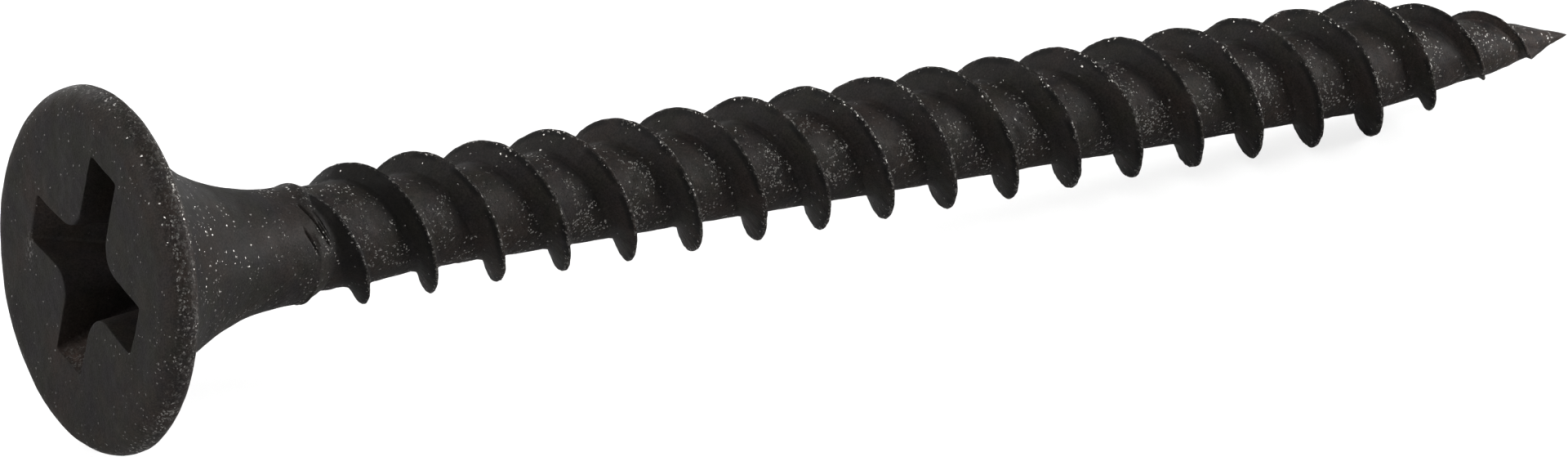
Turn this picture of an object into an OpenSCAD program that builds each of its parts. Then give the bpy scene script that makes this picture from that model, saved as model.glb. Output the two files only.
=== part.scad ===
// Bugle-head screw with a twin-start right-hand thread and a cross recess.
// The axis lies along X. The flat face of the head is at x = 0 and faces -X,
// and the point is at x = length. On the real screw all the nodes are one metal:
// each node is a zone of it, and neighbouring zones meet face to face.

/* [Screw] */
// Overall length, from the flat face to the point
length = 44.74; // [38:0.02:60]
// Outside diameter of the thread, over its crests
major_d = 3.54; // [3.3:0.02:3.9]
// Root diameter of the threaded shank
core_d = 2.32; // [2.2:0.02:2.4]

/* [Head] */
// Diameter of the head at its widest
head_d = 8.86; // [8.4:0.02:9.2]
// Distance from the flat face to the end of the head's zone, low on its flare
head_h = 4.8; // [4.4:0.1:5.4]
// Distance from the flat face to where the concave flare becomes the plain neck
flare_end = 5.6; // [5.5:0.05:5.8]
// The flare is a quarter ellipse: its half axis along the screw
flare_l = 4.95; // [4.8:0.05:5]
// Its half axis across the screw
flare_w = 3.77; // [3.7:0.01:3.9]
// Radial width of the rounded edge round the face
edge_w = 0.62; // [0.4:0.02:0.8]
// Depth below the face at which the head is widest
edge_h = 0.6; // [0.5:0.02:0.7]

/* [Recess] */
// Span of the cross recess at the face, over two opposite wings
recess_span = 5.1; // [4.9:0.02:5.3]
// Width of a wing at the face
wing_w = 1.16; // [1.06:0.02:1.26]
// Width of a wing at its floor
wing_floor_w = 0.94; // [0.8:0.02:1.04]
// Depth of the wings
wing_h = 2.7; // [2.5:0.05:2.8]
// Angle between a wing's end wall and the axis, in degrees
wing_slope = 26.5; // [24:0.5:27]
// Diameter of the round centre of the recess at the face
centre_d = 2.16; // [2:0.02:2.3]
// Diameter of the round centre at the wings' floor
centre_floor_d = 1.5; // [1.3:0.02:1.6]
// Depth of the recess at its middle
recess_h = 3.15; // [2.9:0.05:3.2]
// Turn of the recess about the axis, in degrees
recess_turn = 14.6; // [0:0.2:90]

/* [Neck] */
// Diameter of the plain neck
neck_d = 2.84; // [2.76:0.02:2.9]
// Distance from the face to the shoulder, where the thread begins
shoulder_x = 5.9; // [5.85:0.05:6.4]
// Length of the bevel from the shoulder down to the core
bevel_l = 0.4; // [0.2:0.05:0.5]
// Diameter of the core at the bottom of the bevel
bevel_d = 2.54; // [2.4:0.02:2.6]
// Distance from the face to where the core begins to draw in to its root diameter
settle_x = 7.6; // [7:0.1:8]
// Distance from the face to where the core reaches its root diameter
even_x = 9.2; // [8.4:0.1:10]

/* [Thread] */
// Distance between neighbouring crests along the axis
crest_gap = 1.904; // [1.8:0.004:2]
// Width of a crest's flat
crest_w = 0.06; // [0.04:0.01:0.12]
// Axial width of the flank that faces the head
head_flank = 0.3; // [0.24:0.02:0.5]
// Axial width of the flank that faces the point
point_flank = 0.26; // [0.2:0.02:0.5]
// Distance over which each start rises to full height
run_in = 1.9; // [1:0.1:2.4]
// Angle of the first start where it begins, in degrees from +Y towards +Z
start_turn = 97; // [0:1:360]

/* [Point] */
// Length of the tapered end of the core, its bare cone included
taper_l = 6.64; // [5.6:0.02:7.6]
// Length of the steeper cone at the very end
cone_l = 2.74; // [2.2:0.02:3.2]
// Diameter at which that cone begins
cone_d = 1.38; // [1.2:0.02:1.5]
// Distance before the point at which the crests begin to lower
crest_taper_l = 6.44; // [6:0.02:7.6]
// Diameter over the crests where the thread ends
crest_end_d = 1.08; // [1:0.02:1.2]
// Distance before the point at which the thread ends
thread_end = 1.3; // [1:0.1:1.8]

/* [Hidden] */

$fn = 96;
head_r = head_d / 2;
neck_r = neck_d / 2;
bevel_r = bevel_d / 2;
core_r = core_d / 2;
major_r = major_d / 2;

lead = 2 * crest_gap;             // two starts
core_x = shoulder_x + bevel_l;    // the neck ends and the core begins here
taper_x = length - taper_l;       // the core ends and the point begins here
cone_x = length - cone_l;
cone_r = cone_d / 2;
crest_x = length - crest_taper_l;
crest_end_r = crest_end_d / 2;
thread_x0 = shoulder_x + 0.05;
thread_x1 = length - thread_end;
run_out = 0.8;                    // distance over which the thread dies away at the point

edge_steps = 8;
flare_steps = 14;
neck_steps = 4;
turn_steps = 24;                  // thread sections in one turn
thread_steps = ceil((thread_x1 - thread_x0) / lead * turn_steps);
least_rise = 0.03;                // height of the thread at its very ends
skin = 0.1;                       // how far a cutter passes a face

under_edge_w = 0.45;              // rounding between the widest ring and the flare
flare_top_r = head_r - under_edge_w;
flare_x = flare_end - flare_l * sqrt(1 - pow((neck_r + flare_w - flare_top_r) / flare_w, 2));

black_phosphate = [0.16, 0.155, 0.15];
recess_black = [0.1, 0.098, 0.095];

// ---- outline of the head ----

// Quarter ellipse from the flat face out to the widest ring
function face_edge() = [for (i = [0:edge_steps]) let (a = 90 * i / edge_steps)
    [head_r - edge_w * (1 - sin(a)), edge_h * (1 - cos(a))]];

// Quarter ellipse from the widest ring back to the flare
function under_edge() = [for (i = [1:edge_steps]) let (a = 90 * i / edge_steps)
    [head_r - under_edge_w * (1 - cos(a)), edge_h + (flare_x - edge_h) * sin(a)]];

// Radius of the concave flare at a distance x from the face
function flare_r(x) = neck_r + flare_w * (1 - sqrt(1 - pow((flare_end - x) / flare_l, 2)));

// The part of the flare between two distances, without its first point
function flare(x0, x1, steps) = [for (i = [1:steps]) let (x = x0 + (x1 - x0) * i / steps) [flare_r(x), x]];

// Solid of revolution about X from an outline of [radius, x] points
module turned(outline) {
    rotate([0, 90, 0]) rotate_extrude() polygon(outline);
}

// ---- cross recess ----

// One pair of opposite wings: sloping ends, and sides that draw in with depth
module wing_pair() {
    end_r = recess_span / 2;
    floor_r = end_r - wing_h * tan(wing_slope);
    lip_r = end_r + skin * tan(wing_slope);
    lip_w = wing_w + skin * (wing_w - wing_floor_w) / wing_h;
    deep_w = wing_w - recess_h * (wing_w - wing_floor_w) / wing_h;
    intersection() {
        linear_extrude(height = 2 * wing_w, center = true)
            polygon([[-skin, -lip_r], [wing_h, -floor_r], [recess_h, 0], [wing_h, floor_r], [-skin, lip_r]]);
        rotate([90, 0, 0]) linear_extrude(height = 2 * recess_span, center = true)
            polygon([[-skin, -lip_w / 2], [recess_h, -deep_w / 2], [recess_h, deep_w / 2], [-skin, lip_w / 2]]);
    }
}

module cross_recess() {
    centre_slope = (centre_d - centre_floor_d) / 2 / wing_h;
    rotate([recess_turn, 0, 0]) {
        wing_pair();
        rotate([90, 0, 0]) wing_pair();
        translate([-skin, 0, 0]) rotate([0, 90, 0])
            cylinder(h = wing_h + skin, r1 = centre_d / 2 + skin * centre_slope, r2 = centre_floor_d / 2);
        translate([wing_h, 0, 0]) rotate([0, 90, 0])
            cylinder(h = recess_h - wing_h, r1 = centre_floor_d / 2, r2 = 0);
    }
}

// ---- thread ----

// Radius of the shank between the ridges, at a distance x from the face
function root_r(x) =
    x < shoulder_x ? neck_r
    : x < core_x ? neck_r + (bevel_r - neck_r) * (x - shoulder_x) / bevel_l
    : x < settle_x ? bevel_r
    : x < even_x ? bevel_r + (core_r - bevel_r) * (x - settle_x) / (even_x - settle_x)
    : x < taper_x ? core_r
    : x < cone_x ? core_r + (cone_r - core_r) * (x - taper_x) / (cone_x - taper_x)
    : cone_r * max(0, (length - x) / cone_l);

function smooth(t) = let (s = max(0, min(1, t))) s * s * (3 - 2 * s);

// Radius of the crests at x: they rise from the neck's radius and lower evenly near the point
function crest_r(x) = x < crest_x
    ? neck_r + (major_r - neck_r) * smooth((x - thread_x0) / run_in)
    : major_r + (crest_end_r - major_r) * (x - crest_x) / (thread_x1 - crest_x);

function on_helix(x, r, turn) = [x, r * cos(turn), r * sin(turn)];

// Section of the ridge at x: two root corners and two crest corners.
// The root corners stand out a little, so that the chords between them touch the core.
function section(x, turn) =
    let (stand_out = 1 / cos(180 / turn_steps),
         full = (crest_r(x) - root_r(x)) * smooth((thread_x1 - x) / run_out),
         height = max(least_rise, full),
         part = height / (major_r - core_r),
         x_head = max(shoulder_x, x - crest_w / 2 - head_flank * part),
         x_point = x + crest_w / 2 + point_flank * part,
         top_r = root_r(x) * stand_out + height)
    [on_helix(x_head, root_r(x_head) * stand_out, turn),
     on_helix(max(shoulder_x, x - crest_w / 2), top_r, turn),
     on_helix(x + crest_w / 2, top_r, turn),
     on_helix(x_point, root_r(x_point) * stand_out, turn)];

// One start of the thread as a closed ribbon wound round the core
module thread_start(turn0) {
    n = thread_steps;
    corners = 4;
    points = [for (i = [0:n]) let (x = thread_x0 + (thread_x1 - thread_x0) * i / n)
        each section(x, turn0 + 360 * (x - thread_x0) / lead)];
    sides = [for (i = [0:n - 1], j = [0:corners - 1])
        let (a = i * corners + j, b = i * corners + (j + 1) % corners)
        each [[a, b, b + corners], [a, b + corners, a + corners]]];
    last = n * corners;
    ends = [[0, 2, 1], [0, 3, 2], [last, last + 1, last + 2], [last, last + 2, last + 3]];
    polyhedron(points, concat(sides, ends), convexity = 20);
}

// ---- nodes ----

module head() {
    outline = concat([[0, 0]], face_edge(), under_edge(), flare(flare_x, head_h, flare_steps), [[0, head_h]]);
    difference() {
        color(black_phosphate) turned(outline);
        color(recess_black) cross_recess();
    }
}

module neck() {
    top = concat([[0, head_h], [flare_r(head_h), head_h]], flare(head_h, flare_end, neck_steps));
    color(black_phosphate) turned(concat(top, [[neck_r, shoulder_x], [bevel_r, core_x], [0, core_x]]));
}

module core() {
    color(black_phosphate)
        turned([[0, core_x], [bevel_r, core_x], [bevel_r, settle_x],
                [core_r, even_x], [core_r, taper_x], [0, taper_x]]);
}

module thread_first() {
    color(black_phosphate) thread_start(start_turn);
}

module thread_second() {
    color(black_phosphate) thread_start(start_turn + 180);
}

module point() {
    color(black_phosphate) turned([[0, taper_x], [core_r, taper_x], [cone_r, cone_x], [0, length]]);
}

head();
neck();
core();
thread_first();
thread_second();
point();
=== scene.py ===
"""A black phosphated wood screw on a pale floor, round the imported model.

The screw's axis lies along +X, with the flat face of the head at x = 0. Shapes are worked out in
millimetres and turned into metres when a mesh is made. An angle round the axis is in degrees, from
+Y towards +Z, and every surface is a function of the distance x from the face and that angle.
"""

import math

import bmesh
import bpy
import numpy as np
from mathutils import Matrix, Vector


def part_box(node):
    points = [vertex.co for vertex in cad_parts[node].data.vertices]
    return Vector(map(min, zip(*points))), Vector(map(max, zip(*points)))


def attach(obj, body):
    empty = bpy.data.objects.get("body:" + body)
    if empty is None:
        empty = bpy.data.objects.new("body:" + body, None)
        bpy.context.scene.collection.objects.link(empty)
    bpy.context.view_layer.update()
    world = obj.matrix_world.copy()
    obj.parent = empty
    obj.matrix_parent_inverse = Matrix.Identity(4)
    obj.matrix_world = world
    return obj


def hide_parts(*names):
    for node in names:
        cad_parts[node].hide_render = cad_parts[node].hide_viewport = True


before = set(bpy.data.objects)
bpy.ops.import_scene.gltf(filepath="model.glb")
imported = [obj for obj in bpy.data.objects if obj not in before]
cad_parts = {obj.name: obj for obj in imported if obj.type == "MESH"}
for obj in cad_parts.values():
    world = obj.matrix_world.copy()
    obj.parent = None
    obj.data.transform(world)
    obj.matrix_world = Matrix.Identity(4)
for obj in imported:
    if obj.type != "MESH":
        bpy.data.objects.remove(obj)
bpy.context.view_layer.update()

MM = 0.001


# ---- sizes in millimetres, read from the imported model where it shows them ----

def lowest(node):
    return [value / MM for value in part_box(node)[0]]


def highest(node):
    return [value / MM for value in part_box(node)[1]]


LENGTH = highest("point")[0]
HEAD_R = highest("head")[2]
HEAD_END = highest("head")[0]
NECK_END = highest("neck")[0]
BEVEL_R = highest("core")[2]
TAPER_X = lowest("point")[0]
CORE_R = highest("point")[2]

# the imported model's shapes that its boxes don't show
NECK_R = 1.42
MAJOR_R = 1.77
SHOULDER_X, SETTLE_X, EVEN_X = 5.9, 7.6, 9.2      # the thread begins, the core draws in, and it is even
EDGE_W, EDGE_H = 0.62, 0.60                       # rounding from the face out to the widest ring
UNDER_EDGE_W = 0.45                               # rounding from the widest ring back to the flare
FLARE_END, FLARE_L, FLARE_W = 5.6, 4.95, 3.77
CONE_X, CONE_R = LENGTH - 2.74, 0.69
RECESS_HALF_W, RECESS_FLOOR_HALF_W = 0.58, 0.47
RECESS_WING_H, RECESS_H, RECESS_SLOPE = 2.7, 3.15, 26.5
CREST_GAP = 1.904
LEAD = 2 * CREST_GAP
START_X, START_TURN = 5.95, 97.0
RUN_IN = 1.9
THREAD_END = LENGTH - 1.3
CREST_X, CREST_END_R = LENGTH - 6.44, 0.54
CREST_HALF_W = 0.03

# where one struck and rolled screw departs from the clean model
LIP_X = 5.79                            # the neck's rolled-up lip is a little before the shoulder
RECESS_MIDDLE = (-0.22, 0.155)          # the recess's middle on the face, in y and z
HEAD_SHIFT = (0.09, 0.025)              # the head is struck off the shank's middle, in y and z
HEAD_LEAN = (0.035, -0.002)             # and cocked: how far its face stands back for each mm of y and z
NECK_DROP, LOWER_NECK_DROP = 0.05, 0.035
TIP_DROP, TIP_SWELL = 0.04, 0.04
CONE_BLUNTNESS = 0.85                   # 1 would be a straight cone
CREST_LIFT, CREST_LOW_START = 0.015, 0.055
OFF_CENTRE, OFF_CENTRE_RISE = -0.045, 0.075
HEAD_FLANK, POINT_FLANK = 0.28, 0.24    # a little steeper than the model's, because their feet are rounded
RIDGE_SHIFT, LEAST_RISE = 0.01, 0.02    # the ridges' place towards the point, and their height at their ends


# ---- small tools ----

def smooth(t):
    t = np.clip(t, 0.0, 1.0)
    return t * t * (3.0 - 2.0 * t)


def ripples(points, size, seed, count=26):
    """Smooth random relief of about unit strength, with features about `size` long."""
    draw = np.random.default_rng(seed)
    directions = draw.normal(size=(count, 3))
    directions /= np.linalg.norm(directions, axis=1)[:, None]
    waves = directions / (size * draw.uniform(0.7, 1.6, count))[:, None]
    phases = draw.uniform(0.0, 2 * math.pi, count)
    total = np.zeros(points.shape[:-1])
    for wave, phase in zip(waves, phases):
        total += np.sin(2 * math.pi * (points @ wave) + phase)
    return total / math.sqrt(count / 2)


def around(x, r, turn):
    """Points at distance x and radius r, at an angle in degrees."""
    a = np.radians(turn)
    x, r, a = np.broadcast_arrays(x, r, a)
    return np.stack([x, r * np.cos(a), r * np.sin(a)], axis=-1)


# what the coat reads at each point: rubbed steel, shiny crystals, rust brown, and dark, which is painted
# shade at the ridges' feet and under their crests and a darker start of each ridge
MARKS = ("wear", "glint", "brown", "dark")


def piece(name, rings, node, marks, sharp_degrees=50.0):
    """A closed mesh from rings of points, (ring, point, xyz) in millimetres, each end closed by a fan.

    marks holds a strength, or one for each point, under the names in MARKS. One left out is 0.
    """
    count, size = rings.shape[:2]
    ends = np.stack([rings[0].mean(axis=0), rings[-1].mean(axis=0)])
    points = np.concatenate([rings.reshape(-1, 3), ends]) * MM
    ring = np.arange(count - 1)[:, None] * size
    near = np.arange(size)[None, :]
    far = (near + 1) % size
    quads = np.stack([ring + near, ring + far, ring + size + far, ring + size + near], axis=-1)
    last = (count - 1) * size
    first_end, last_end = count * size, count * size + 1
    fans = [(first_end, (i + 1) % size, i) for i in range(size)]
    fans += [(last_end, last + i, last + (i + 1) % size) for i in range(size)]
    mesh = bpy.data.meshes.new(name)
    mesh.from_pydata(points.tolist(), [], quads.reshape(-1, 4).tolist() + fans)
    work = bmesh.new()
    work.from_mesh(mesh)
    bmesh.ops.recalc_face_normals(work, faces=work.faces)
    work.to_mesh(mesh)
    work.free()
    mesh.shade_smooth()
    mesh.set_sharp_from_angle(angle=math.radians(sharp_degrees))
    for mark in MARKS:
        values = np.zeros(len(points), np.float32)
        values[: count * size] = (np.zeros((count, size)) + marks.get(mark, 0.0)).reshape(-1)
        mesh.attributes.new(mark, "FLOAT", "POINT").data.foreach_set("value", values)
    made = bpy.data.objects.new(name, mesh)
    bpy.context.scene.collection.objects.link(made)
    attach(made, "root")
    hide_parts(node)
    return made


# ---- the steel's outline ----

def root_radius(x):
    """Radius of the flare, neck, core and point, without the ridges."""
    up_flare = np.clip((FLARE_END - x) / FLARE_L, 0.0, 0.999)
    flare = NECK_R + FLARE_W * (1.0 - np.sqrt(1.0 - up_flare ** 2))
    bevel = NECK_R + (BEVEL_R - NECK_R) * np.clip((x - LIP_X) / (NECK_END - LIP_X), 0.0, 1.0)
    settle = BEVEL_R + (CORE_R - BEVEL_R) * smooth((x - SETTLE_X) / (EVEN_X - SETTLE_X))
    taper = CORE_R + (CONE_R - CORE_R) * (x - TAPER_X) / (CONE_X - TAPER_X)
    cone = CONE_R * (np.maximum(LENGTH - x, 0.0) / (LENGTH - CONE_X)) ** CONE_BLUNTNESS
    taper = np.minimum(np.minimum(taper, CORE_R), cone)
    shaft = np.where(x < TAPER_X - 0.3, settle, taper)
    return np.where(x < FLARE_END, flare, np.where(x < NECK_END, bevel, shaft))


def crest_radius(x, turn):
    """Radius of the crests, which stand off centre: low along most of the screw, and high near the point."""
    full = MAJOR_R + CREST_LIFT - CREST_LOW_START * (1.0 - smooth((x - 12.0) / 6.0))
    grown = NECK_R + (full - NECK_R) * smooth((x - START_X) / RUN_IN)
    t = np.clip((x - CREST_X) / (THREAD_END - CREST_X), 0.0, 1.2)
    off_centre = OFF_CENTRE + OFF_CENTRE_RISE * smooth((x - 37.5) / 3.5)
    return grown + (CREST_END_R - full) * t + off_centre * np.sin(np.radians(turn))


def lumps(points):
    """Outward relief of forged and rolled steel, the same wherever pieces meet."""
    return 0.006 * ripples(points, 1.3, 11) + 0.003 * ripples(points, 0.45, 12)


def off_line(x):
    """How far the steel's middle stands above the thread's axis: the neck and the tip are a little low."""
    low_neck = NECK_DROP * smooth((x - 1.5) / 1.5) + LOWER_NECK_DROP * smooth((x - 4.2) / 0.8)
    low_neck = low_neck * (1.0 - np.clip((x - LIP_X) / (NECK_END - LIP_X), 0.0, 1.0))
    return -low_neck - TIP_DROP * smooth((x - 42.6) / 1.4)


def tip_swell(x, turn):
    """Metal pinched out low on one side near the tip, where the second ridge dies away."""
    along = smooth((x - 41.0) / 2.0) * (1.0 - smooth((x - 43.3) / 0.9))
    return TIP_SWELL * along * np.exp(-((turn % 360.0 - 250.0) / 55.0) ** 2)


MARKED_SIDE = 158.0                     # the angle at the middle of the neck's grooved side

# grooves on the neck that follow the thread's slant: the distance at which each crosses MARKED_SIDE, the
# angles it runs between, its depth and its half width. A negative depth is a raised fold.
NECK_GROOVES = (
    (5.99, 112, 172, 0.055, 0.030),
    (6.07, 132, 168, 0.035, 0.020),
    (5.90, 138, 160, 0.026, 0.018),
    (5.57, 140, 174, 0.045, 0.026),
    (6.16, 120, 190, 0.028, 0.030),
    (5.74, 150, 166, -0.018, 0.050),
)


def neck_marks(x, turn):
    """Relief of the neck: the swelling where the first ridge starts, the lip rolled up low, the grooves."""
    slant = x - LEAD * ((turn - MARKED_SIDE) / 360.0)
    swelling = 0.09 * np.exp(-((x - 5.89) / 0.20) ** 2 - ((turn - 80.0) / 30.0) ** 2)
    lip = 0.03 * np.exp(-((x - LIP_X) / 0.05) ** 2 - ((turn - 247.0) / 40.0) ** 2)
    relief = swelling + lip
    for place, first, last, depth, width in NECK_GROOVES:
        along = smooth((turn - first) / 10.0) * smooth((last - turn) / 10.0)
        relief = relief - depth * along * np.exp(-((slant - place) / width) ** 2)
    return relief


def painted_foot_shade(x, turn):
    """Painted shade: how much darker the coat is along the foot of each ridge's flank that faces the head."""
    ahead = (START_X + LEAD * (turn - START_TURN) / 360.0 - x) % CREST_GAP
    threaded = smooth((x - 5.75) / 0.2) * (1.0 - smooth((x - 41.5) / 1.5))
    return 0.5 * threaded * (1.0 - smooth((ahead - 0.35) / 0.6))


def dents(x, turn, r, seed, count, first_x, last_x):
    """Shallow round-bottomed dents and a few raised grains, at random places on the shank."""
    draw = np.random.default_rng(seed)
    relief = np.zeros_like(x)
    for _ in range(count):
        at, way = draw.uniform(first_x, last_x), draw.uniform(0.0, 360.0)
        long, wide = draw.uniform(0.05, 0.22), draw.uniform(0.04, 0.10)
        depth = draw.uniform(0.006, 0.026) * (1.0 if draw.uniform() < 0.75 else -0.5)
        lean = math.radians(draw.uniform(-60.0, 60.0))
        rows = np.nonzero(np.abs(x[:, 0] - at) < 0.7)[0]
        if not len(rows):
            continue
        part = slice(rows[0], rows[-1] + 1)
        dx = x[part] - at
        dy = np.radians((turn[part] - way + 180.0) % 360.0 - 180.0) * r[part]
        u = dx * math.cos(lean) + dy * math.sin(lean)
        v = dy * math.cos(lean) - dx * math.sin(lean)
        relief[part] -= depth * np.exp(-(u / long) ** 2 - (v / wide) ** 2)
    return relief


def shank(name, node, x_values, turns, relief, marks):
    """A stretch of the neck, core or point, with its relief and marks as functions of x and turn."""
    x, turn = np.meshgrid(x_values, turns, indexing="ij")
    r = root_radius(x)
    calmer_at_tip = np.clip(r / 0.4, 0.0, 1.0)
    r = r + (lumps(around(x, r, turn)) + relief(x, turn, r)) * calmer_at_tip + tip_swell(x, turn)
    rings = around(x, r, turn)
    rings[..., 2] += off_line(x)
    return piece(name, rings, node, marks(x, turn))


# ---- head ----

# each wing of the struck recess: its turn about the recess's middle, its reach and half its width
WINGS = ((11.9, 2.62, 0.60), (104.5, 2.82, 0.64), (195.9, 2.60, 0.66), (283.4, 2.60, 0.62))
WING_ROUND = 0.09                                   # of the corners at a wing's end
INNER_ROUND, INNER_ROUND_DEEP = 0.72, 0.42          # of the corners between wings, at the face and the floor
MOUTH_ROUND = 0.05                                  # of the recess's edge at the face


def rounded(corners, radii, arc_steps, line_steps):
    """A closed outline through corners, each rounded to its radius, with points along its straight sides."""
    arcs = []
    for k, corner in enumerate(corners):
        before = corners[k - 1] - corner
        after = corners[(k + 1) % len(corners)] - corner
        before = before / np.linalg.norm(before)
        after = after / np.linalg.norm(after)
        half = math.acos(np.clip(before @ after, -1.0, 1.0)) / 2
        middle = (before + after) / np.linalg.norm(before + after)
        centre = corner + middle * radii[k] / math.sin(half)
        start = corner + before * radii[k] / math.tan(half) - centre
        side = math.copysign(1.0, start[0] * -middle[1] - start[1] * -middle[0])
        sweep = side * (math.pi - 2 * half) * np.arange(arc_steps[k] + 1) / arc_steps[k]
        turned = np.stack([start[0] * np.cos(sweep) - start[1] * np.sin(sweep),
                           start[0] * np.sin(sweep) + start[1] * np.cos(sweep)], axis=-1)
        arcs.append(centre + turned)
    outline = []
    for k, arc in enumerate(arcs):
        outline.append(arc)
        ahead = arcs[(k + 1) % len(arcs)][0]
        share = (np.arange(1, line_steps[k]) / line_steps[k])[:, None]
        outline.append(arc[-1] + (ahead - arc[-1]) * share)
    return np.concatenate(outline)


def recess_outline(depth):
    """The cross at a depth, as (y, z): its wings shorten and narrow with depth."""
    shorter = depth * math.tan(math.radians(RECESS_SLOPE))
    narrower = (RECESS_HALF_W - RECESS_FLOOR_HALF_W) * depth / RECESS_WING_H
    inner_round = INNER_ROUND + (INNER_ROUND_DEEP - INNER_ROUND) * depth / RECESS_WING_H
    ways, reaches, halves = np.array(WINGS).T
    ways = np.radians(ways)
    along = np.stack([np.cos(ways), np.sin(ways)], axis=-1)
    across = np.stack([-np.sin(ways), np.cos(ways)], axis=-1)
    reaches, halves = reaches - shorter, halves - narrower
    corners = []
    for k in range(4):
        n = (k + 1) % 4
        near, far = across[k] * halves[k], across[n] * -halves[n]
        step = np.linalg.solve(np.stack([along[k], -along[n]], axis=1), far - near)
        corners += [along[k] * reaches[k] - near, along[k] * reaches[k] + near, near + along[k] * step[0]]
    radii = [WING_ROUND, WING_ROUND, inner_round]
    arc_steps, line_steps = [6, 6, 34], [10, 13, 13]
    return rounded(corners, radii * 4, arc_steps * 4, line_steps * 4) + np.array(RECESS_MIDDLE)


# scuffs on the face: where in y and z, and how wide in y and z
SCUFFS = ((2.56, -0.12, 0.15, 0.32), (1.71, -3.13, 0.07, 0.03))


def flat(outline, x):
    """An outline in y and z as a ring of points at a distance x from the face."""
    return np.concatenate([np.full((len(outline), 1), x), outline], axis=1)


def clean_head():
    """The head's smooth, straight rings, from the recess's floor over the face and down the flare.

    It also gives how many of them are inside the recess.
    """
    rings = []
    floor_outline = recess_outline(RECESS_WING_H)
    for t in np.linspace(0.02, 1.0, 8):
        rings.append(flat(floor_outline.mean(axis=0) * (1.0 - t) + floor_outline * t,
                          RECESS_H + (RECESS_WING_H - RECESS_H) * t))
    for depth in np.linspace(RECESS_WING_H, MOUTH_ROUND, 30)[1:]:
        rings.append(flat(recess_outline(depth), depth))
    recess_rings = len(rings)
    mouth = rings[-1][:, 1:]
    out = mouth / np.linalg.norm(mouth, axis=1)[:, None]
    for a in np.radians((30, 60, 90)):
        wider = MOUTH_ROUND * (1.0 - math.cos(a))
        rings.append(flat(mouth + out * wider, MOUTH_ROUND * (1.0 - math.sin(a))))
    inner = rings[-1][:, 1:]
    face_r = HEAD_R - EDGE_W
    for t in np.linspace(0.0, 1.0, 34)[1:]:
        rings.append(flat(inner + (out * face_r - inner) * t, 0.0))
    for a in np.radians(np.linspace(0, 90, 16)[1:]):
        rings.append(flat(out * (HEAD_R - EDGE_W * (1.0 - math.sin(a))), EDGE_H * (1.0 - math.cos(a))))
    flare_top = HEAD_R - UNDER_EDGE_W
    flare_x = FLARE_END - FLARE_L * math.sqrt(1.0 - ((NECK_R + FLARE_W - flare_top) / FLARE_W) ** 2)
    for a in np.radians(np.linspace(0, 90, 8)[1:]):
        rings.append(flat(out * (HEAD_R - UNDER_EDGE_W * (1 - math.cos(a))),
                          EDGE_H + (flare_x - EDGE_H) * math.sin(a)))
    for x in np.linspace(flare_x, HEAD_END, 56)[1:]:
        rings.append(flat(out * root_radius(x), x))
    return np.array(rings), recess_rings


def head():
    """The head, with a forged surface, cocked and off the shank's middle."""
    rings, recess_rings = clean_head()
    x = rings[..., 0]
    radius = np.linalg.norm(rings[..., 1:], axis=-1)
    under = smooth((x - 0.2) / 0.6)
    relief = lumps(rings)
    outside = (np.arange(len(rings)) >= recess_rings)[:, None]
    rings[..., 1:] *= (1.0 + np.where(outside, under * relief / np.maximum(radius, 0.5), 0.0))[..., None]
    rings[..., 0] -= np.where(outside, (1.0 - under) * relief, 0.0)
    hold = 1.0 - smooth((x - 0.8) / 2.6)
    rings[..., 0] += hold * (HEAD_LEAN[0] * rings[..., 1] + HEAD_LEAN[1] * rings[..., 2])
    rings[..., 1] += hold * HEAD_SHIFT[0]
    rings[..., 2] += hold * HEAD_SHIFT[1] + off_line(x)
    marks = head_marks(rings, radius, outside)
    return piece("bugle_head", rings, "head", marks)


def head_marks(rings, radius, outside):
    """A bright rim and scuffs, a rusty low wing, and few crystals on the face and in the recess."""
    x = rings[..., 0]
    rim = np.exp(-((radius - HEAD_R + 0.03) / 0.09) ** 2) * outside
    in_recess = np.where(outside, 0.0, 1.0)
    glint = 0.05 + 0.12 * smooth((radius - 3.4) / 0.8) * outside + 0.85 * rim
    glint = np.where(x > 1.0, 0.28, glint) * (1.0 - 0.85 * in_recess)
    way = np.degrees(np.arctan2(rings[..., 2], rings[..., 1])) % 360.0
    low_wing = np.exp(-((way - 281.0) / 9.0) ** 2) * smooth((radius - 1.7) / 0.3) * in_recess
    scuff = np.zeros_like(x)
    for y, z, wide, high in SCUFFS:
        scuff += np.exp(-((rings[..., 1] - y) / wide) ** 2 - ((rings[..., 2] - z) / high) ** 2) * outside
    wear = 0.35 * rim + scuff * (x < 0.3) + 0.8 * low_wing
    brown = 0.25 * smooth((radius - 3.6) / 0.5) + 0.9 * low_wing + 0.22 * in_recess
    return {"wear": wear, "glint": glint + 0.8 * low_wing, "brown": brown}


# ---- threads ----

STEPS_A_TURN = 160

# A full ridge's section, in three numbers a point. The first says how far down a flank it is: -1 is the
# foot on the head's side, 0 the crest, and 1 the foot on the point's side. The second is how much further
# towards the point it is, in mm on a flank and in half widths on the crest's flat. The third is its share
# of the ridge's height.
RIDGE = (
    (-1.0, -0.22, -0.012), (-1.0, -0.13, 0.014), (-1.0, -0.05, 0.048), (-1.0, 0.0, 0.09), (-0.88, 0.0, 0.19),
    (-0.72, 0.0, 0.33), (-0.54, 0.0, 0.49), (-0.36, 0.0, 0.65), (-0.20, 0.0, 0.80), (-0.08, 0.0, 0.92),
    (0.0, -1.0, 0.98), (0.0, -0.5, 1.0), (0.0, 0.0, 0.99), (0.0, 0.5, 0.998), (0.0, 1.0, 0.97),
    (0.08, 0.0, 0.91), (0.2, 0.0, 0.80), (0.36, 0.0, 0.64), (0.54, 0.0, 0.48), (0.72, 0.0, 0.33),
    (0.88, 0.0, 0.19), (1.0, 0.0, 0.09), (1.0, 0.03, 0.045), (1.0, 0.08, 0.012), (1.0, 0.14, -0.012),
    (0.5, 0.0, -0.10), (-0.5, 0.0, -0.10),
)


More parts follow.
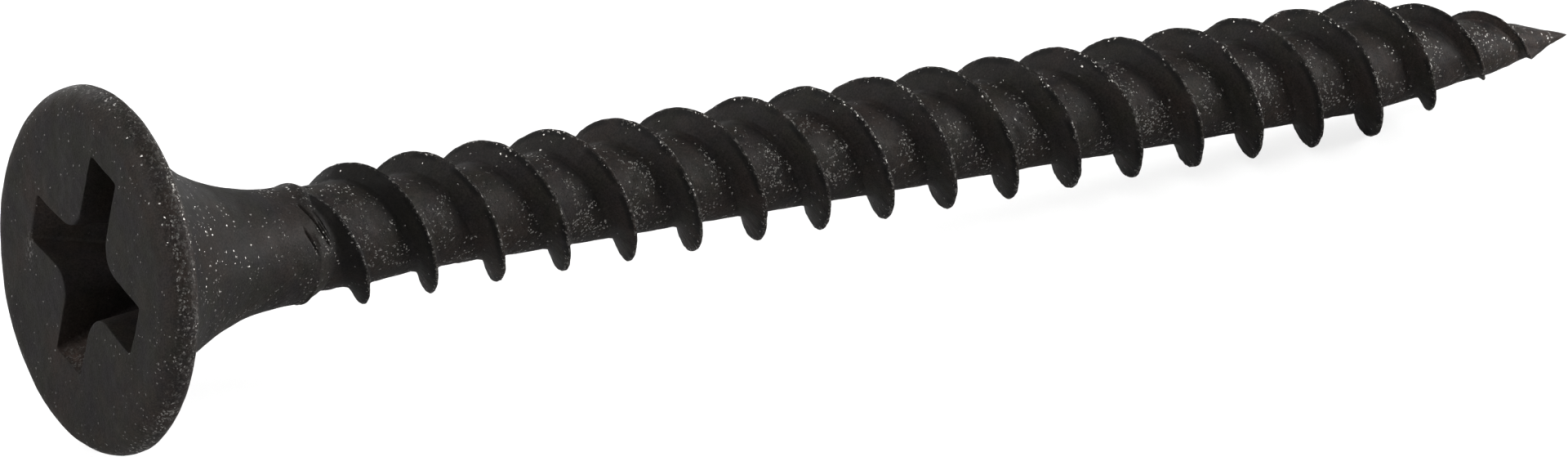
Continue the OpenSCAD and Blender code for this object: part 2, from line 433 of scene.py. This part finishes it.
def nicks(x, seed, count):
    """Depth of small nicks at random places along a crest, as a share of its height."""
    draw = np.random.default_rng(seed)
    depth = np.zeros_like(x)
    for _ in range(count):
        at = draw.uniform(x[0], x[-1])
        width = draw.uniform(0.010, 0.035)
        depth += draw.uniform(0.01, 0.035) * np.exp(-((x - at) / width) ** 2)
    return depth


def ridge(name, node, turn0, end_x, run_out, seed):
    """One start of the thread, as a closed ribbon wound round the core and sunk a little into it."""
    count = int((end_x - START_X) / LEAD * STEPS_A_TURN)
    x = np.linspace(START_X, end_x, count)
    turn = turn0 + 360.0 * (x - START_X) / LEAD
    height = (crest_radius(x, turn) - root_radius(x)) * smooth((end_x - x) / run_out)
    height = np.maximum(height, LEAST_RISE)
    scale = np.minimum(height / (MAJOR_R - CORE_R), 1.0)
    along = around(x, MAJOR_R, turn)
    wander = 0.012 * ripples(along, 1.6, seed) + 0.005 * ripples(along, 0.4, seed + 1)
    ragged = 0.009 * ripples(along, 0.8, seed + 3) + 0.006 * ripples(along, 0.25, seed + 4)
    ragged = ragged - nicks(x, seed + 2, 34)
    rings = np.zeros((count, len(RIDGE), 3))
    worn, glint, brown, dark = np.zeros((4, count, len(RIDGE)))
    # the second ridge dies away as a broad lump that is drawn a little towards the head
    dying = smooth((x - 42.8) / 0.7)
    drawn = -0.2 * smooth((x - 42.3) / 1.4)
    head_width = HEAD_FLANK * (1.0 + 0.9 * (1.0 - smooth((x - 6.4) / 2.0)))
    point_width = POINT_FLANK * (1.0 + 4.0 * dying)
    point_spread = scale + (np.sqrt(scale) - scale) * dying
    for k, (flank, beyond, rise) in enumerate(RIDGE):
        if flank == 0.0:
            offset = beyond * CREST_HALF_W * np.ones(count)
        else:
            width, spread = (head_width, np.sqrt(scale)) if flank < 0 else (point_width, point_spread)
            offset = (flank * width + beyond) * spread + math.copysign(CREST_HALF_W, flank)
        at = x + RIDGE_SHIFT + offset + drawn + wander * max(rise, 0.0)
        at = np.clip(at, SHOULDER_X, LENGTH - 0.1)
        r = root_radius(at) + tip_swell(at, turn) + height * (rise + ragged * max(rise, 0.0) ** 2)
        r = r + lumps(around(at, root_radius(at), turn))
        rings[:, k] = around(at, r, turn)
        rings[:, k, 2] += off_line(at)
        worn[:, k] = 1.0 if rise > 0.93 else 0.0
        glint[:, k] = 0.8 if rise > 0.9 or flank > 0 else 0.08
        brown[:, k] = 0.15 + 0.6 * smooth((at - 39.0) / 4.0)
        # the coat is darker near the start of each ridge
        dark[:, k] = 0.60 * (1.0 - smooth((at - 7.6) / 2.4))
        # painted shade, as of a shadowed seam, lies in patches just under the crest
        if -0.25 < flank < -0.04:
            dark[:, k] = np.maximum(dark[:, k], 0.75 * smooth(ripples(along, 0.9, seed + 5) + 0.9))
    marks = {"wear": worn, "glint": glint, "brown": brown, "dark": dark}
    return piece(name, rings, node, marks, sharp_degrees=40.0)


# ---- material ----

CRYSTAL_SIZE = 0.038        # in mm, as every size in the material is


def black_phosphate():
    """Phosphated steel: a near-black clouded coat with tiny bright crystals, rubbed or rusty where marked."""
    material = bpy.data.materials.new("black_phosphate")
    material.use_nodes = True
    nodes, links = material.node_tree.nodes, material.node_tree.links
    nodes.clear()

    def add(kind, **settings):
        node = nodes.new(kind)
        for key, value in settings.items():
            setattr(node, key, value)
        return node

    out = add("ShaderNodeOutputMaterial")
    shader = add("ShaderNodeBsdfPrincipled")
    links.new(shader.outputs["BSDF"], out.inputs["Surface"])
    coords = add("ShaderNodeTexCoord")
    scale = add("ShaderNodeVectorMath", operation="SCALE")
    scale.inputs["Scale"].default_value = 1.0 / MM
    links.new(coords.outputs["Object"], scale.inputs[0])
    place = scale.outputs["Vector"]

    def noise(size, detail=3.0, rough=0.55):
        node = add("ShaderNodeTexNoise")
        node.inputs["Scale"].default_value = 1.0 / size
        node.inputs["Detail"].default_value = detail
        node.inputs["Roughness"].default_value = rough
        links.new(place, node.inputs["Vector"])
        return node.outputs["Fac"]

    def mapped(socket, low, high, to_low=0.0, to_high=1.0):
        node = add("ShaderNodeMapRange")
        node.inputs["From Min"].default_value = low
        node.inputs["From Max"].default_value = high
        node.inputs["To Min"].default_value = to_low
        node.inputs["To Max"].default_value = to_high
        links.new(socket, node.inputs["Value"])
        return node.outputs["Result"]

    def mix(factor, a, b):
        node = add("ShaderNodeMix", data_type="RGBA")
        links.new(factor, node.inputs["Factor"])
        for socket, value in ((node.inputs["A"], a), (node.inputs["B"], b)):
            if isinstance(value, tuple):
                socket.default_value = value
            else:
                links.new(value, socket)
        return node.outputs["Result"]

    def maths(operation, a, b=None):
        node = add("ShaderNodeMath", operation=operation)
        for socket, value in zip(node.inputs, (a, b)):
            if value is None:
                continue
            if isinstance(value, (int, float)):
                socket.default_value = value
            else:
                links.new(value, socket)
        return node.outputs["Value"]

    def share(name):
        return add("ShaderNodeAttribute", attribute_name=name).outputs["Fac"]

    def times(a, b):
        node = add("ShaderNodeMix", data_type="RGBA", blend_type="MULTIPLY")
        node.inputs["Factor"].default_value = 1.0
        links.new(a, node.inputs["A"])
        links.new(b, node.inputs["B"])
        return node.outputs["Result"]

    # the coat: near black, with faint violet, olive and brown clouds, and a fine grain
    cool = mix(mapped(noise(0.9, 3.0), 0.38, 0.62), (0.0195, 0.0172, 0.0175, 1), (0.0200, 0.0190, 0.0150, 1))
    warm = mix(mapped(noise(1.7, 4.0), 0.50, 0.70), cool, (0.0270, 0.0200, 0.0170, 1))
    rust = maths("MULTIPLY", share("brown"), mapped(noise(0.3, 4.0), 0.3, 0.65))
    rusty = mix(rust, warm, (0.060, 0.043, 0.036, 1))
    grain = mix(mapped(noise(0.05, 4.0, 0.7), 0.3, 0.7), (0.45, 0.45, 0.45, 1), (1.55, 1.55, 1.55, 1))

    # crystals: small cells stand at odd angles, and some of them are shiny enough to glint
    cells = add("ShaderNodeTexVoronoi", feature="F1")
    cells.inputs["Scale"].default_value = 1.0 / CRYSTAL_SIZE
    links.new(place, cells.inputs["Vector"])
    parts = add("ShaderNodeSeparateColor")
    links.new(cells.outputs["Color"], parts.inputs["Color"])
    crowd = maths("MULTIPLY", share("glint"), mapped(noise(0.7, 3.0), 0.46, 0.68, 0.015, 0.26))
    crystal = maths("GREATER_THAN", crowd, parts.outputs["Red"])
    rub = maths("MULTIPLY", share("wear"), mapped(noise(0.10, 4.0, 0.7), 0.52, 0.64))
    shiny = maths("MAXIMUM", crystal, rub)

    # the dark mark mixes the coat towards near black: painted shade at the ridges' feet and under their
    # crests, and a darker start of each ridge
    darkened_coat = mix(share("dark"), times(rusty, grain), (0.003, 0.0028, 0.0028, 1))
    links.new(mix(shiny, darkened_coat, (0.26, 0.25, 0.235, 1)), shader.inputs["Base Color"])
    links.new(maths("MULTIPLY", shiny, 0.88), shader.inputs["Metallic"])

    # gloss: the coat is dull in clouds, and the crystals are not
    dull = mapped(noise(0.5, 3.0), 0.3, 0.7, 0.52, 0.62)
    rough = add("ShaderNodeMix", data_type="FLOAT")
    links.new(shiny, rough.inputs["Factor"])
    links.new(dull, rough.inputs["A"])
    rough.inputs["B"].default_value = 0.22
    links.new(rough.outputs["Result"], shader.inputs["Roughness"])
    shader.inputs["Specular IOR Level"].default_value = 0.18

    # relief: a soft mottle, a fine grain, and each shiny crystal tilted its own way
    mottle = add("ShaderNodeBump")
    mottle.inputs["Strength"].default_value = 0.7
    mottle.inputs["Distance"].default_value = 0.022 * MM
    links.new(noise(0.28, 3.0, 0.6), mottle.inputs["Height"])
    bump = add("ShaderNodeBump")
    bump.inputs["Strength"].default_value = 0.8
    bump.inputs["Distance"].default_value = 0.010 * MM
    links.new(noise(0.06, 4.0, 0.65), bump.inputs["Height"])
    links.new(mottle.outputs["Normal"], bump.inputs["Normal"])
    tilt = add("ShaderNodeVectorMath", operation="SUBTRACT")
    links.new(cells.outputs["Color"], tilt.inputs[0])
    tilt.inputs[1].default_value = (0.5, 0.5, 0.5)
    lean = add("ShaderNodeVectorMath", operation="SCALE")
    links.new(tilt.outputs["Vector"], lean.inputs[0])
    links.new(maths("MULTIPLY", crystal, 0.55), lean.inputs["Scale"])
    leaned = add("ShaderNodeVectorMath", operation="ADD")
    links.new(bump.outputs["Normal"], leaned.inputs[0])
    links.new(lean.outputs["Vector"], leaned.inputs[1])
    unit = add("ShaderNodeVectorMath", operation="NORMALIZE")
    links.new(leaned.outputs["Vector"], unit.inputs[0])
    links.new(unit.outputs["Vector"], shader.inputs["Normal"])
    return material


# ---- neck, core and point ----

COARSE, FINE = np.arange(0, 360, 360 / 160), np.arange(0, 360, 360 / 270)      # angles round a ring


def plain_neck():
    def relief(x, turn, r):
        return neck_marks(x, turn) + dents(x, turn, r, seed=31, count=24, first_x=HEAD_END, last_x=NECK_END)

    def marks(x, turn):
        # the dark mark is painted shade along the ridges' feet
        return {"glint": 0.7, "brown": 0.15, "dark": painted_foot_shade(x, turn)}

    along = np.arange(HEAD_END - 0.03, NECK_END + 0.02, 0.018)
    return shank("plain_neck", "neck", along, FINE, relief, marks)


def shank_core():
    def relief(x, turn, r):
        return dents(x, turn, r, seed=32, count=700, first_x=NECK_END + 0.3, last_x=TAPER_X)

    def marks(x, turn):
        glint = 0.45 + 0.9 * np.exp(-((turn - 165.0) / 38.0) ** 2)
        # the dark mark is painted shade along the ridges' feet
        return {"glint": glint, "brown": 0.3, "dark": painted_foot_shade(x, turn)}

    along = np.arange(NECK_END, TAPER_X + 0.03, 0.06)
    return shank("shank_core", "core", along, COARSE, relief, marks)


def gimlet_point():
    def relief(x, turn, r):
        return dents(x, turn, r, seed=33, count=170, first_x=TAPER_X, last_x=LENGTH - 0.3)

    def marks(x, turn):
        # the dark mark is painted shade along the ridges' feet
        return {"glint": 0.7, "brown": 0.3 + 0.5 * smooth((x - 40.0) / 4.0), "dark": painted_foot_shade(x, turn)}

    rounding = LENGTH - np.array([0.04, 0.028, 0.016, 0.007, 0.001])
    along = np.append(np.linspace(TAPER_X - 0.02, LENGTH - 0.05, 166), rounding)
    return shank("gimlet_point", "point", along, COARSE, relief, marks)


# ---- build ----

coat = black_phosphate()
pieces = [
    head(),
    plain_neck(),
    shank_core(),
    gimlet_point(),
    ridge("thread_ridge_first", "thread_first", START_TURN, THREAD_END - 0.8, 1.7, 101),
    ridge("thread_ridge_second", "thread_second", START_TURN + 180.0, THREAD_END + 0.91, 1.3, 201),
]
for made in pieces:
    made.data.materials.append(coat)


# ---- floor, lights, camera ----

MIDDLE = Vector((LENGTH / 2 * MM, 0, 0))
LEAN = math.atan2(HEAD_R - MAJOR_R, CREST_X - EDGE_H)       # of a floor under the rim and the last full crest
FLOOR_GAP = 0.02 * MM
FLOOR_REACH, LAMP_DISTANCE = 3.0, 0.45                      # in metres


def floor():
    """A pale floor that the head's rim and the thread near the point both all but touch."""
    mesh = bpy.data.meshes.new("floor")
    along = Vector((math.cos(LEAN), 0, math.sin(LEAN)))
    upward = Vector((-math.sin(LEAN), 0, math.cos(LEAN)))
    start = Vector((EDGE_H * MM, 0, -HEAD_R * MM)) - upward * FLOOR_GAP
    corners = [start + along * u * FLOOR_REACH + Vector((0, v * FLOOR_REACH, 0))
               for u, v in ((-1, -1), (1, -1), (1, 1), (-1, 1))]
    mesh.from_pydata([tuple(c) for c in corners], [], [(0, 1, 2, 3)])
    made = bpy.data.objects.new("floor", mesh)
    bpy.context.scene.collection.objects.link(made)
    paint = bpy.data.materials.new("pale_floor")
    paint.use_nodes = True
    shader = paint.node_tree.nodes["Principled BSDF"]
    shader.inputs["Base Color"].default_value = (0.45, 0.45, 0.45, 1)
    shader.inputs["Roughness"].default_value = 0.9
    shader.inputs["Specular IOR Level"].default_value = 0.1
    mesh.materials.append(paint)
    return made


def aim(obj, place, target, up):
    """Puts obj at place, looking along its own -Z at target."""
    back = (place - target).normalized()
    right = up.cross(back).normalized()
    obj.matrix_world = Matrix((
        (right.x, back.cross(right).x, back.x, place.x),
        (right.y, back.cross(right).y, back.y, place.y),
        (right.z, back.cross(right).z, back.z, place.z),
        (0, 0, 0, 1),
    ))


def soft_light(name, turn, height, power, size):
    """A square softbox that faces the screw's middle, at an angle round it and a height in degrees."""
    lamp = bpy.data.lights.new(name, "AREA")
    lamp.energy = power
    lamp.size = size
    made = bpy.data.objects.new(name, lamp)
    bpy.context.scene.collection.objects.link(made)
    t, h = math.radians(turn), math.radians(height)
    way = Vector((math.cos(h) * math.cos(t), math.cos(h) * math.sin(t), math.sin(h)))
    place = MIDDLE + Matrix.Rotation(-LEAN, 3, "Y") @ way * LAMP_DISTANCE
    aim(made, place, MIDDLE, Vector((0.013, 0.02, 1)))


base = floor()
soft_light("right_low", -30, 12, 1.33, 0.22)
soft_light("right", -34, 35, 0.75, 0.34)
soft_light("left", 165, 35, 0.76, 0.22)
soft_light("front", -138, 26, 0.28, 0.50)
soft_light("left_low", 180, 12, 0.40, 0.22)
soft_light("back", 86, 26, 0.76, 0.36)
soft_light("back_right", 30, 12, 0.26, 0.22)
soft_light("top", 0, 62, 0.14, 0.22)

# a white backdrop: an even light that falls on the floor alone, and a background that only the camera sees
floor_only = bpy.data.collections.new("lit_backdrop")
floor_only.objects.link(base)
backdrop_lamp = bpy.data.lights.new("backdrop", "SUN")
backdrop_lamp.energy = 5.2
backdrop_lamp.use_shadow = False
backdrop_lamp.cycles.max_bounces = 0
backdrop = bpy.data.objects.new("backdrop", backdrop_lamp)
bpy.context.scene.collection.objects.link(backdrop)
backdrop.light_linking.receiver_collection = floor_only

world = bpy.data.worlds.new("studio")
world.use_nodes = True
world.node_tree.nodes["Background"].inputs["Color"].default_value = (0.85, 0.85, 0.85, 1)
bpy.context.scene.world = world
world.cycles_visibility.diffuse = False
world.cycles_visibility.glossy = False

lens = bpy.data.cameras.new("camera")
lens.sensor_width = 36.0
lens.lens = 239.26
lens.clip_start, lens.clip_end = 0.01, 10.0
camera = bpy.data.objects.new("camera", lens)
bpy.context.scene.collection.objects.link(camera)
CAMERA_PLACE = Vector((-120.946, -198.634, 82.283)) * MM
LOOK = Vector((0.54765, 0.77055, -0.32610))
UP = Vector((0.13832, 0.30100, 0.94354))
aim(camera, CAMERA_PLACE, CAMERA_PLACE + LOOK, UP)
bpy.context.scene.camera = camera
bpy.context.scene.view_settings.view_transform = "Standard"
